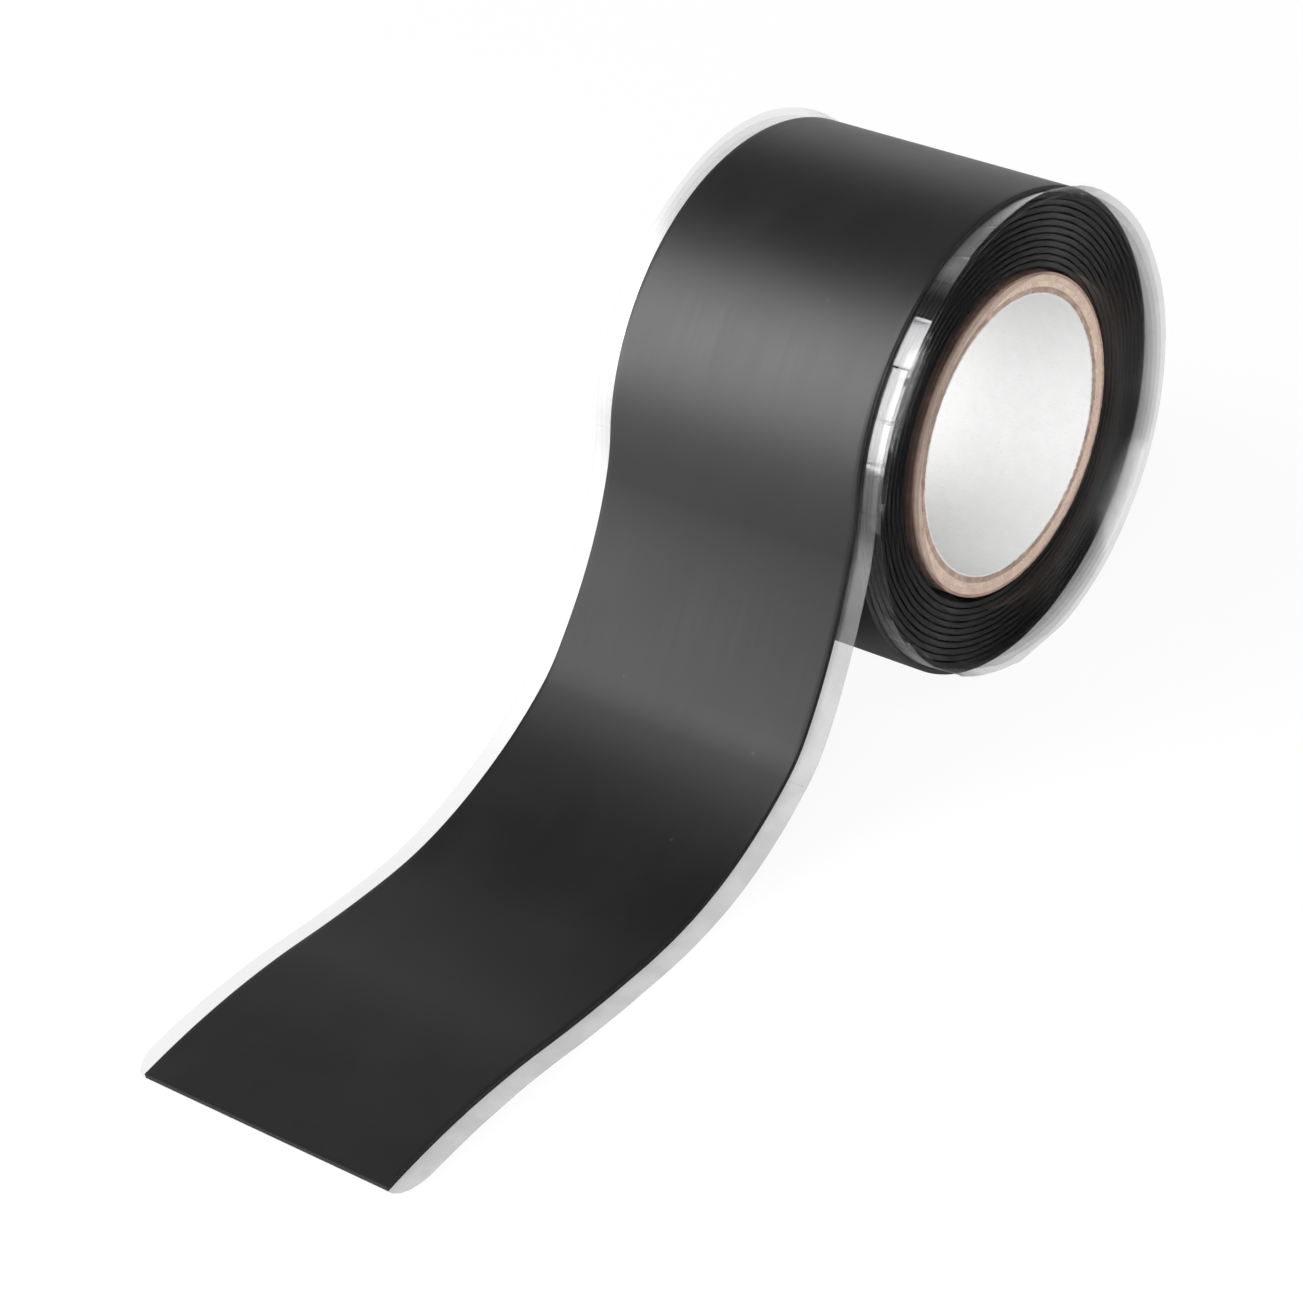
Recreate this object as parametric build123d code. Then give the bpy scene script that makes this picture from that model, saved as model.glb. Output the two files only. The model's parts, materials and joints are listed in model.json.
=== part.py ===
from build123d import *
import os
from math import cos, degrees, radians, sin
from typing import NamedTuple

# A small roll of self-fusing silicone repair tape, part used, standing on its edge.
# The tape is wound together with a clear release film on a ply-wound cardboard core.
# Its free end has been drawn off the front, hangs to the ground and lies there.
#
# Millimetres. The roll's axis is Y, its near end face looks along -Y, Z is up and the
# free end runs out along -X. The origin is the middle of the core's bore.

# Core: a cardboard tube of glued plies, cut to length.
CORE_BORE_RADIUS = 12.25
CORE_LENGTH = 26.4
LINING_THICKNESS = 0.15
BODY_PLY_THICKNESS = 0.5
BODY_PLIES = 3
KRAFT_THICKNESS = 0.25
GLUE_LINE = 0.01

# Tape, its release film, and the adhesive strip that holds both to the core.
TAPE_WIDTH = 25.4
TAPE_THICKNESS = 0.5
FILM_WIDTH = 29.1
FILM_THICKNESS = 0.07
LAYER_CLEARANCE = 0.01
TURNS = 11.5
LOOSE_TURNS = 4
START_STRIP_WIDTH = 18.0
START_STRIP_LENGTH = 12.0
START_STRIP_THICKNESS = 0.1

# Where the tape leaves the roll, as an angle about the axis, anticlockwise from +X.
RELEASE_ANGLE = 169.0

# The free end, from the roll to its cut edge. Turns are in degrees: the strip first bends
# away from the roll, drops in a long slow curve, sweeps forward more tightly, lands flat
# in another slow curve, lifts a little and curls down.
RELEASE_RADIUS = 20.0
RELEASE_TURN = 13.0
STEEP_RADIUS = 46.0
STEEP_TURN = 19.0
SWEEP_TURN = 14.0
LANDING_RADIUS = 38.0
LIFT_RADIUS = 124.0
LIFT_TURN = 5.5
CURL_TURN = 9.0
TAPE_END_LENGTH = 14.0

# A length of strip under this is left out, so that no sliver stays where legs meet.
SHORTEST_LEG = 1e-6

# The strips bend at three lines, each at mid-thickness. The side that stays still stops
# half the thickness and this clearance short of the line, so that the other can turn.
BEND_CLEARANCE = 0.02

# The strips' line runs between tape and film, with the film to its left, so the tape lies
# at offsets from -TAPE_THICKNESS to 0 and the film from LAYER_CLEARANCE to film_inner.
film_inner = LAYER_CLEARANCE + FILM_THICKNESS
pitch = TAPE_THICKNESS + film_inner + LAYER_CLEARANCE
half_turns = round(2 * TURNS)
loose_half_turns = round(2 * LOOSE_TURNS)
stack_middle = (film_inner - TAPE_THICKNESS) / 2
bend_gap = (TAPE_THICKNESS + film_inner) / 2 + BEND_CLEARANCE


class Leg(NamedTuple):
    """One arc of a strip's line. A positive turn goes anticlockwise."""

    x: float
    z: float
    heading: float
    radius: float
    turn: float
    length: float


def centre(leg):
    """The side that an arc turns to, 1 for its left and -1 for its right, and its centre."""
    side = 1 if leg.turn > 0 else -1
    x = leg.x - side * leg.radius * sin(radians(leg.heading))
    z = leg.z + side * leg.radius * cos(radians(leg.heading))
    return side, x, z


def step(leg, distance, offset=0.0):
    """The point, and the heading, at a distance along a leg, moved to its left by offset."""
    side, centre_x, centre_z = centre(leg)
    heading = leg.heading + side * degrees(distance / leg.radius)
    reach = side * leg.radius - offset
    x = centre_x + reach * sin(radians(heading))
    z = centre_z - reach * cos(radians(heading))
    return x, z, heading


def walk(x, z, heading, moves):
    """The legs that follow one another smoothly from a point and a heading. Each move is
    an arc's radius and its turn."""
    legs = []
    for radius, turn in moves:
        length = radius * abs(radians(turn))
        legs.append(Leg(x, z, heading, radius, turn, length))
        x, z, heading = step(legs[-1], length)
    return legs


def span(legs):
    """How long a line of legs is."""
    return sum(leg.length for leg in legs)


def place(legs, distance, offset=0.0):
    """The point, and the heading, at a distance along a line of legs."""
    for leg in legs[:-1]:
        if distance < leg.length:
            return step(leg, distance, offset)
        distance -= leg.length
    return step(legs[-1], distance, offset)


def stretch(legs, start, end):
    """The part of a line of legs between two distances along it."""
    kept = []
    passed = 0.0
    for leg in legs:
        first = max(start - passed, 0.0)
        last = min(end - passed, leg.length)
        if last - first > SHORTEST_LEG:
            x, z, heading = step(leg, first)
            share = (last - first) / leg.length
            kept.append(Leg(x, z, heading, leg.radius, leg.turn * share, last - first))
        passed += leg.length
    return kept


def side_edges(legs, offset):
    """The edges of a line of legs, moved to its left by offset."""
    edges = []
    for leg in legs:
        side, x, z = centre(leg)
        first_angle = leg.heading - side * 90
        edges.append(CenterArc((x, z), leg.radius - side * offset, first_angle, leg.turn))
    return edges


def strip(legs, right, left, width):
    """A strip of even thickness that follows the legs, between two offsets to their left."""
    near = side_edges(legs, right)
    far = side_edges(legs, left)
    first_cap = Line(far[0] @ 0, near[0] @ 0)
    last_cap = Line(near[-1] @ 1, far[-1] @ 1)
    outline = make_face([first_cap, *near, last_cap, *far])
    return extrude(Plane.XZ * outline, amount=width / 2, both=True)


def ring(inner, outer, length):
    """A tube about the roll's axis."""
    wall = Circle(outer) - Circle(inner)
    return extrude(Plane.XZ * wall, amount=length / 2, both=True)


def core_plies():
    """The core's plies from the bore outwards, by name, and its outer radius."""
    layers = [("core_lining", LINING_THICKNESS)]
    layers += [(f"core_body_ply_{n + 1}", BODY_PLY_THICKNESS) for n in range(BODY_PLIES)]
    layers += [("core_kraft_ply", KRAFT_THICKNESS)]
    plies = {}
    inner = CORE_BORE_RADIUS
    for name, thickness in layers:
        plies[name] = ring(inner, inner + thickness, CORE_LENGTH)
        inner += thickness + GLUE_LINE
    return plies, inner - GLUE_LINE


def pack_bore(core_radius):
    """The inner radius of the wound turns, just clear of the start strip."""
    return core_radius + GLUE_LINE + START_STRIP_THICKNESS + LAYER_CLEARANCE


def wound_line(core_radius):
    """The line between tape and film on the roll: half circles about two centres, each
    half a pitch larger than the one before, so that it spirals out smoothly."""
    first_radius = pack_bore(core_radius) + film_inner + pitch / 4
    heading = RELEASE_ANGLE + 90 - 180 * half_turns
    reach = first_radius - pitch / 4
    x = reach * sin(radians(heading))
    z = -reach * cos(radians(heading))
    moves = [(first_radius + n * pitch / 2, 180) for n in range(half_turns)]
    return walk(x, z, heading, moves)


def ground_level(wound):
    """The height of the roll's lowest point, on the tape's outer face."""
    lowest = 0.0
    for leg in wound[-2:]:
        to_bottom = -leg.heading % 360
        if to_bottom <= leg.turn:
            _, _, centre_z = centre(leg)
            lowest = min(lowest, centre_z - leg.radius - TAPE_THICKNESS)
    return lowest


def free_line(wound):
    """The lines of the free end: from the roll down to where it has landed, and on along
    the ground. The sweep takes whatever radius brings the film down onto the ground."""
    x, z, heading = place(wound, span(wound))
    start = heading - 360 * ((heading - 180) // 360)
    steep = start - RELEASE_TURN
    swept = steep - STEEP_TURN
    slope = swept - SWEEP_TURN
    drop = z - ground_level(wound) - film_inner
    drop -= RELEASE_RADIUS * (cos(radians(start)) - cos(radians(steep)))
    drop -= STEEP_RADIUS * (cos(radians(steep)) - cos(radians(swept)))
    drop -= LANDING_RADIUS * (cos(radians(slope)) + 1)
    sweep_radius = drop / (cos(radians(swept)) - cos(radians(slope)))
    lift_share = 1 - cos(radians(LIFT_TURN))
    curl_radius = LIFT_RADIUS * lift_share / (1 - cos(radians(CURL_TURN)) - lift_share)
    drawn = [
        (RELEASE_RADIUS, -RELEASE_TURN),
        (STEEP_RADIUS, -STEEP_TURN),
        (sweep_radius, -SWEEP_TURN),
        (LANDING_RADIUS, 180 - slope),
    ]
    lying = [
        (LIFT_RADIUS, -LIFT_TURN),
        (curl_radius, LIFT_TURN + CURL_TURN),
    ]
    legs = walk(x, z, start, drawn + lying)
    return legs[: len(drawn)], legs[len(drawn) :]


def tape(legs):
    """A length of tape along the legs."""
    return strip(legs, -TAPE_THICKNESS, 0, TAPE_WIDTH)


def tight_turns(last_turn, bore):
    """The inner turns, pressed into one block. Its outside is the outer face of their last
    turn, and the step where that turn closes is where the loose turns begin."""
    outside = side_edges(last_turn, -TAPE_THICKNESS)
    closing = Line(outside[-1] @ 1, outside[0] @ 0)
    block = make_face([*outside, closing]) - Circle(bore)
    return extrude(Plane.XZ * block, amount=TAPE_WIDTH / 2, both=True)


def film(legs):
    """A length of release film along the legs."""
    return strip(legs, LAYER_CLEARANCE, film_inner, FILM_WIDTH)


def start_strip(core_radius):
    """The double-sided adhesive strip on the core, under the first turn of film."""
    radius = core_radius + GLUE_LINE + START_STRIP_THICKNESS / 2
    heading = RELEASE_ANGLE + 90 - 180 * half_turns
    turn = degrees(START_STRIP_LENGTH / radius)
    x = radius * sin(radians(heading))
    z = -radius * cos(radians(heading))
    legs = walk(x, z, heading, [(radius, turn)])
    half = START_STRIP_THICKNESS / 2
    return strip(legs, -half, half, START_STRIP_WIDTH)


parts, core_radius = core_plies()
parts["start_strip"] = start_strip(core_radius)

wound = wound_line(core_radius)
drawn, lying = free_line(wound)
lifts_at = span(lying) - TAPE_END_LENGTH

loose = wound[-loose_half_turns:]
last_tight_turn = wound[-loose_half_turns - 2 : -loose_half_turns]
loose_end = span(loose) - bend_gap
tight = tight_turns(last_tight_turn, pack_bore(core_radius))
parts["tape_wound"] = tight + tape(stretch(loose, 0, loose_end))
parts["film_wound"] = film(stretch(loose, LAYER_CLEARANCE, loose_end))

hanging = stretch(drawn, 0, span(drawn) - bend_gap)
parts["tape_hanging"] = tape(hanging)
parts["film_hanging"] = film(hanging)

parts["tape_lying"] = tape(stretch(lying, 0, lifts_at - bend_gap))
parts["film_lying"] = film(lying)
parts["tape_end"] = tape(stretch(lying, lifts_at, span(lying)))

os.makedirs("parts", exist_ok=True)
for name, solid in parts.items():
    export_step(solid, f"parts/{name}.step")

bend_lines = {
    "release": place(drawn, 0, stack_middle),
    "landing": place(lying, 0, stack_middle),
    "tape_end": place(lying, lifts_at, -TAPE_THICKNESS / 2),
}
for name, (x, z, heading) in bend_lines.items():
    print(f"{name} bend line at x {x:.3f}, z {z:.3f}, heading {heading:.1f}")
print(f"core radius {core_radius:.2f}, ground {ground_level(wound):.3f}")
print(f"tape {span(wound) + span(drawn) + span(lying):.0f} long")
print(f"free end {span(drawn):.1f} down to the ground and {span(lying):.1f} along it")
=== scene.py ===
# %% [markdown]
# A small roll of self-fusing silicone repair tape, dressed for its looks. The roll stands
# on its edge and its free end hangs down the front and lies on the ground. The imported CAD
# model is the fixed frame: it says where each piece is and which joint moves it. This
# lesson builds the camera and the light first, then the line that the tape follows, then
# each piece along that line, then its finish.

# %% Frame
import json
import math

import bpy
from mathutils import Matrix, Vector


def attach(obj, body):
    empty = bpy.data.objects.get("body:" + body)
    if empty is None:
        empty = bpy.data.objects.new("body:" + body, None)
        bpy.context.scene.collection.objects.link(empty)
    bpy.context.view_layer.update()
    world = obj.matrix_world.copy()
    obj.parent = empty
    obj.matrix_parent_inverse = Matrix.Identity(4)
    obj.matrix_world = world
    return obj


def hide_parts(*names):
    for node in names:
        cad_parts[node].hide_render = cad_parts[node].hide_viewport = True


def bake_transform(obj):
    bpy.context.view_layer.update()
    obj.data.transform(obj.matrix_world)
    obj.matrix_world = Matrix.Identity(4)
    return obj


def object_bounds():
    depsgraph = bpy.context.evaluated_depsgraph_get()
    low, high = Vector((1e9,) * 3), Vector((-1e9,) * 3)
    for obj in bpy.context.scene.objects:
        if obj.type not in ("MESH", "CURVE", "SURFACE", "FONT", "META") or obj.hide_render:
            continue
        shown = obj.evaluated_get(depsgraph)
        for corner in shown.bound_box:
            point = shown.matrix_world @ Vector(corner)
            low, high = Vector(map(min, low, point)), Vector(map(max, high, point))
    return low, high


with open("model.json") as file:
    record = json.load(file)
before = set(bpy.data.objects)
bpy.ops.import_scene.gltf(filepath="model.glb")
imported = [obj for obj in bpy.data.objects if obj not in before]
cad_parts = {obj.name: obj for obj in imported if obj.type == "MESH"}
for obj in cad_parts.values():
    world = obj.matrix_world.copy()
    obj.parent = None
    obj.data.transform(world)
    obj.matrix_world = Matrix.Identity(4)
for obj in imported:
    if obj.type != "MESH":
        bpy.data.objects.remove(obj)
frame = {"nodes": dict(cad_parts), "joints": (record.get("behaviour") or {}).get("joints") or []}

cad_low, cad_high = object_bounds()
MM = 0.001
bends = {joint["name"]: joint for joint in frame["joints"]}
print("CAD box in mm", [round(v / MM, 2) for v in (*cad_low, *cad_high)])

# %% [markdown]
# The camera stands in front of the roll's near end and above it, tilted a little, with a
# long lens, so that the roll hardly tapers. A camera looks along its own -Z, so its three
# axes are worked out from an azimuth, an elevation and a roll, and put into its matrix.

# %% Camera
CAMERA_PLACE = Vector((-0.2655, -0.20835, 0.20682))
CAMERA_AZIMUTH = math.radians(-48.08)
CAMERA_ELEVATION = math.radians(34.38)
CAMERA_ROLL = math.radians(-6.73)

back = Vector((
    math.sin(CAMERA_AZIMUTH) * math.cos(CAMERA_ELEVATION),
    -math.cos(CAMERA_AZIMUTH) * math.cos(CAMERA_ELEVATION),
    math.sin(CAMERA_ELEVATION),
))
level = Vector((math.cos(CAMERA_AZIMUTH), math.sin(CAMERA_AZIMUTH), 0))
above = back.cross(level)
right = level * math.cos(CAMERA_ROLL) + above * math.sin(CAMERA_ROLL)
up = above * math.cos(CAMERA_ROLL) - level * math.sin(CAMERA_ROLL)

camera = bpy.data.objects.new("camera", bpy.data.cameras.new("camera"))
bpy.context.scene.collection.objects.link(camera)
camera.data.sensor_width = 36
camera.data.lens = 127.11
camera.data.clip_start = 0.01
camera_axes = Matrix((right, up, back)).transposed().to_4x4()
camera.matrix_world = Matrix.Translation(CAMERA_PLACE) @ camera_axes
bpy.context.scene.camera = camera
bpy.context.scene.view_settings.view_transform = "Standard"
bpy.context.scene.cycles.transparent_max_bounces = 48
print("camera", round(CAMERA_PLACE.length, 3), "m from the bore's centre")

# %% [markdown]
# Node trees are wired by a few helpers. `add_node` makes one node, sets its properties, and
# fills each socket with a value or with another node's output. `spread` is the one that the
# lesson needs most: it turns a distance, a height or a noise into a mask. `new_group` makes
# a group with named inputs, each with its kind and first value, and named outputs.

# %% Node helpers
def add_node(tree, kind, sockets=None, **settings):
    """One node. sockets maps an input's name or number to a value or to an output."""
    made = tree.nodes.new(kind)
    for name, value in settings.items():
        setattr(made, name, value)
    for key, value in (sockets or {}).items():
        if isinstance(value, bpy.types.NodeSocket):
            tree.links.new(value, made.inputs[key])
        else:
            made.inputs[key].default_value = value
    return made


def math_node(tree, operation, *values):
    """A Math node's output."""
    sockets = dict(enumerate(values))
    return add_node(tree, "ShaderNodeMath", sockets, operation=operation).outputs[0]


def product(tree, value, *others):
    """Values multiplied with one another."""
    for other in others:
        value = math_node(tree, "MULTIPLY", value, other)
    return value


def vector_math(tree, operation, *values):
    """A Vector Math node's output."""
    sockets = dict(enumerate(values))
    return add_node(tree, "ShaderNodeVectorMath", sockets, operation=operation).outputs[0]


def spread(tree, value, low, high, to_low=0.0, to_high=1.0, smooth=False):
    """A value between low and high, spread over another range and kept inside it."""
    return add_node(
        tree,
        "ShaderNodeMapRange",
        {"Value": value, "From Min": low, "From Max": high, "To Min": to_low, "To Max": to_high},
        interpolation_type="SMOOTHSTEP" if smooth else "LINEAR",
    ).outputs[0]


def axes_of(tree, vector):
    """A vector's three parts."""
    return add_node(tree, "ShaderNodeSeparateXYZ", {0: vector}).outputs


def new_group(name, kind, inputs, outputs):
    """A node group, its inputs' outlet and its outputs' inlet."""
    tree = bpy.data.node_groups.new(name, kind)
    for label, socket, value in inputs:
        item = tree.interface.new_socket(
            label, in_out="INPUT", socket_type="NodeSocket" + socket
        )
        if value is not None:
            item.default_value = value
    for label, socket in outputs:
        tree.interface.new_socket(label, in_out="OUTPUT", socket_type="NodeSocket" + socket)
    outlet = tree.nodes.new("NodeGroupInput").outputs
    inlet = tree.nodes.new("NodeGroupOutput").inputs
    return tree, outlet, inlet


# %% [markdown]
# The stage is a plain pale floor under plain soft light. The camera sees the world, and
# most of the floor's own glow, as white, while the object is lit only by the lamps and a
# weak world. So the picture gets a white ground without any more light on the tape, and
# the floor still keeps a soft shadow. The world fades towards the zenith and is brightest
# low down behind the roll, where a studio's pale backdrop stands, so the roll's far upper
# edge mirrors it.

# %% Floor
FLOOR_HALF = 3.0
FLOOR_GAP = 0.02 * MM
WHITE_SHARE = 0.93
floor_z = cad_low.z - FLOOR_GAP
floor_mesh = bpy.data.meshes.new("floor")
sides = ((-1, -1), (1, -1), (1, 1), (-1, 1))
floor_corners = [(x * FLOOR_HALF, y * FLOOR_HALF, floor_z) for x, y in sides]
floor_mesh.from_pydata(floor_corners, [], [(0, 1, 2, 3)])
floor = bpy.data.objects.new("floor", floor_mesh)
bpy.context.scene.collection.objects.link(floor)

floor_paint = bpy.data.materials.new("floor_paint")
floor_paint.use_nodes = True
tree = floor_paint.node_tree
tree.nodes.clear()
rays = add_node(tree, "ShaderNodeLightPath")
matt = add_node(tree, "ShaderNodeBsdfDiffuse", {"Color": (0.82, 0.82, 0.82, 1)})
glow = add_node(tree, "ShaderNodeEmission", {"Color": (1, 1, 1, 1), "Strength": 1.0})
share = math_node(tree, "MULTIPLY", rays.outputs["Is Camera Ray"], WHITE_SHARE)
floor_look = {0: share, 1: matt.outputs[0], 2: glow.outputs[0]}
mixed = add_node(tree, "ShaderNodeMixShader", floor_look)
add_node(tree, "ShaderNodeOutputMaterial", {"Surface": mixed.outputs[0]})
floor_mesh.materials.append(floor_paint)
print("floor at", round(floor_z / MM, 2), "mm")

# %% World
HORIZON_LIGHT, ZENITH_LIGHT, BACKDROP_LIGHT = 0.41, 0.04, 0.65
FADING_HEIGHTS = (0.25, 0.85)
BACKDROP_SIDE = (0.76, 0.65, 0.0)
BACKDROP_REACH = (0.35, 0.9)
BACKDROP_TOP = (0.55, 0.1)

world = bpy.data.worlds.new("studio")
bpy.context.scene.world = world
world.use_nodes = True
tree = world.node_tree
tree.nodes.clear()
rays = add_node(tree, "ShaderNodeLightPath")
direction = add_node(tree, "ShaderNodeTexCoord").outputs["Generated"]
height = axes_of(tree, direction)[2]
fading = spread(tree, height, *FADING_HEIGHTS, HORIZON_LIGHT, ZENITH_LIGHT, smooth=True)
facing_it = add_node(
    tree, "ShaderNodeVectorMath", {0: direction, 1: BACKDROP_SIDE}, operation="DOT_PRODUCT"
).outputs["Value"]
sideways = spread(tree, facing_it, *BACKDROP_REACH, 0.0, BACKDROP_LIGHT, smooth=True)
low_down = spread(tree, height, *BACKDROP_TOP, smooth=True)
backdrop = product(tree, sideways, low_down)
lit = math_node(tree, "ADD", fading, backdrop)
seen_or_lit = {0: rays.outputs["Is Camera Ray"], 2: lit, 3: 1.0}
strength = add_node(tree, "ShaderNodeMix", seen_or_lit).outputs[0]
sky = add_node(tree, "ShaderNodeBackground", {"Color": (1, 1, 1, 1), "Strength": strength})
add_node(tree, "ShaderNodeOutputWorld", {"Surface": sky.outputs[0]})
print("world", HORIZON_LIGHT, "at the horizon,", ZENITH_LIGHT, "overhead")

# %% [markdown]
# Black satin shows its shape only by what it mirrors, so the main lamp is a wide soft box
# placed where the tape's upper left side mirrors it towards the camera: behind the roll,
# to its left and fairly low. A second soft box, in front and to the left, fills the core
# and the bore.

# %% Lamps
def cosine(degrees):
    return math.cos(math.radians(degrees))


def sine(degrees):
    return math.sin(math.radians(degrees))


def direction_to(azimuth, elevation):
    flat = cosine(elevation)
    return Vector((cosine(azimuth) * flat, sine(azimuth) * flat, sine(elevation)))


def soft_box(name, aim, azimuth, elevation, distance, width, height, turn, radiance):
    """A rectangular lamp that faces aim. It is seen from aim at an azimuth, from +X, and an
    elevation, and is turned about that line of sight. Angles are in degrees."""
    towards = direction_to(azimuth, elevation)
    lamp = bpy.data.lights.new(name, "AREA")
    lamp.shape = "RECTANGLE"
    lamp.size = width
    lamp.size_y = height
    lamp.energy = radiance * math.pi * width * height
    made = bpy.data.objects.new(name, lamp)
    bpy.context.scene.collection.objects.link(made)
    level_side = Vector((0, 0, 1)).cross(towards).normalized()
    axes = Matrix((level_side, towards.cross(level_side), towards)).transposed().to_4x4()
    turned = axes @ Matrix.Rotation(math.radians(turn), 4, "Z")
    made.matrix_world = Matrix.Translation(Vector(aim) + towards * distance) @ turned
    made.visible_camera = False
    print(name, round(lamp.energy, 1), "W")


ROLL_AIM = (-0.02, 0, 0)
soft_box(
    "soft_box_left", ROLL_AIM, azimuth=137.6, elevation=34.7, distance=0.958,
    width=0.42, height=1.20, turn=-6.5, radiance=8.0,
)
soft_box(
    "soft_box_front", ROLL_AIM, azimuth=-146, elevation=45, distance=0.60,
    width=0.50, height=0.50, turn=0, radiance=4.1,
)

# %% [markdown]
# Tape and film are wound together, so one line stands for both: it runs between them. On
# the roll it is a chain of half circles, each half a pitch larger than the one before.
# From the roll it goes on as a few arcs down to the ground. A few functions walk along
# such arcs. A slope is an angle in degrees, and a positive turn goes anticlockwise.

# %% Walking a line
def move_on(x, z, slope, radius, turn, length):
    """Where an arc of a radius leads after a length."""
    side = math.copysign(1, turn)
    ahead = slope + side * math.degrees(length / radius)
    x += side * radius * (sine(ahead) - sine(slope))
    z -= side * radius * (cosine(ahead) - cosine(slope))
    return x, z, ahead


def arc(radius, turn):
    return radius, turn, radius * abs(math.radians(turn))


def chain(x, z, slope, moves):
    """The arcs with the point and the slope at which each begins."""
    legs = []
    for radius, turn, length in moves:
        legs.append((x, z, slope, radius, turn, length))
        x, z, slope = move_on(x, z, slope, radius, turn, length)
    return legs


def point_at(legs, distance):
    """The point and the slope at a distance along a chain."""
    for x, z, slope, radius, turn, length in legs[:-1]:
        if distance <= length:
            return move_on(x, z, slope, radius, turn, distance)
        distance -= length
    x, z, slope, radius, turn, _ = legs[-1]
    return move_on(x, z, slope, radius, turn, distance)


def length_of(legs):
    return sum(leg[5] for leg in legs)


# %% [markdown]
# The sizes are those of the solids, in millimetres. The joint of each bend lies halfway
# through the strips, so the line's own place there is printed next to the frame's
# joint.

# %% The tape's line
CORE_BORE = 12.25
PLIES = [
    ("core_lining", 0.15),
    ("core_body_ply_1", 0.5),
    ("core_body_ply_2", 0.5),
    ("core_body_ply_3", 0.5),
    ("core_kraft_ply", 0.25),
]
GLUE_LINE = 0.01
CORE_LENGTH = 26.4
TAPE_WIDTH, TAPE_THICKNESS = 25.4, 0.5
FILM_WIDTH, FILM_THICKNESS, FILM_CLEARANCE = 29.1, 0.07, 0.01
START_STRIP = 0.1
RELEASE_ANGLE = 169.0
HALF_TURNS = 23

core_radius = CORE_BORE + sum(ply[1] for ply in PLIES) + GLUE_LINE * (len(PLIES) - 1)
film_inner = FILM_CLEARANCE + FILM_THICKNESS
pitch = TAPE_THICKNESS + film_inner + FILM_CLEARANCE
first_reach = core_radius + GLUE_LINE + START_STRIP + FILM_CLEARANCE + film_inner
wound_slope = RELEASE_ANGLE + 90 - 180 * HALF_TURNS
wound = chain(
    first_reach * math.sin(math.radians(wound_slope)),
    -first_reach * math.cos(math.radians(wound_slope)),
    wound_slope,
    [arc(first_reach + pitch / 4 + n * pitch / 2, 180) for n in range(HALF_TURNS)],
)
wound_length = length_of(wound)
release_x, release_z, release_slope = point_at(wound, wound_length)
print("wound line", round(wound_length), "mm, leaves at", round(release_x, 2), round(release_z, 2))

# %% Free end of the line
RELEASE_RADIUS, RELEASE_TURN = 20.0, 13.0
STEEP_RADIUS, STEEP_TURN, SWEEP_TURN = 46.0, 19.0, 14.0
LANDING_RADIUS, LIFT_RADIUS, LIFT_TURN, CURL_TURN = 38.0, 124.0, 5.5, 9.0
TAPE_END_LENGTH = 14.0

ground = cad_low.z / MM
leaving = release_slope % 360
steep = leaving - RELEASE_TURN
swept = steep - STEEP_TURN
slope_down = swept - SWEEP_TURN
drop = release_z - ground - film_inner
drop -= RELEASE_RADIUS * (cosine(leaving) - cosine(steep))
drop -= STEEP_RADIUS * (cosine(steep) - cosine(swept))
drop -= LANDING_RADIUS * (cosine(slope_down) + 1)
sweep_radius = drop / (cosine(swept) - cosine(slope_down))
lift_share = 1 - cosine(LIFT_TURN)
curl_radius = LIFT_RADIUS * lift_share / (1 - cosine(CURL_TURN) - lift_share)
drawn = [
    arc(RELEASE_RADIUS, -RELEASE_TURN),
    arc(STEEP_RADIUS, -STEEP_TURN),
    arc(sweep_radius, -SWEEP_TURN),
    arc(LANDING_RADIUS, 180 - slope_down),
]
lying = [arc(LIFT_RADIUS, -LIFT_TURN), arc(curl_radius, LIFT_TURN + CURL_TURN)]
free = chain(release_x, release_z, leaving, drawn + lying)
free_length = length_of(free)
landing_at = sum(move[2] for move in drawn)
lifting_at = free_length - TAPE_END_LENGTH
for name, distance in (("release_bend", 0), ("landing_bend", landing_at), ("end_lift", lifting_at)):
    x, z, _ = point_at(free, distance)
    print(name, "at", round(x, 2), round(z, 2), "along", round(distance, 2), bends[name])
print("free end", round(free_length, 2), "mm long")

# %% [markdown]
# Every strip, tape, film and paper ply alike, is a flat section that follows a line. In
# Geometry Nodes that is Curve to Mesh, with the section as a second curve. The section's
# X runs along the roll's axis and its Y to the left of the line, which is the film's side.
# A line starts and ends with one very short row, so that smooth shading meets the next
# piece of the same strip without a step.

# %% Lines and sections as curves
END_ROW = 0.02


def rows_between(start, end, spacing):
    """Distances along a line, even but for a short row at each end."""
    count = max(2, round((end - start) / spacing))
    inner = [start + (end - start) * n / count for n in range(1, count)]
    return [start, start + END_ROW, *inner, end - END_ROW, end]


def poly_curve(name, points, closed):
    """A curve object of straight runs. Points are in metres."""
    data = bpy.data.curves.new(name, "CURVE")
    data.dimensions = "3D"
    spline = data.splines.new("POLY")
    spline.points.add(len(points) - 1)
    for place, point in zip(spline.points, points):
        place.co = (*point, 1)
    spline.use_cyclic_u = closed
    made = bpy.data.objects.new(name, data)
    bpy.context.scene.collection.objects.link(made)
    return made


def line_curve(name, legs, distances):
    """The tape's line between some distances."""
    points = []
    for distance in distances:
        x, z, _ = point_at(legs, distance)
        points.append((x * MM, 0, z * MM))
    return poly_curve(name, points, False)


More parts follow.
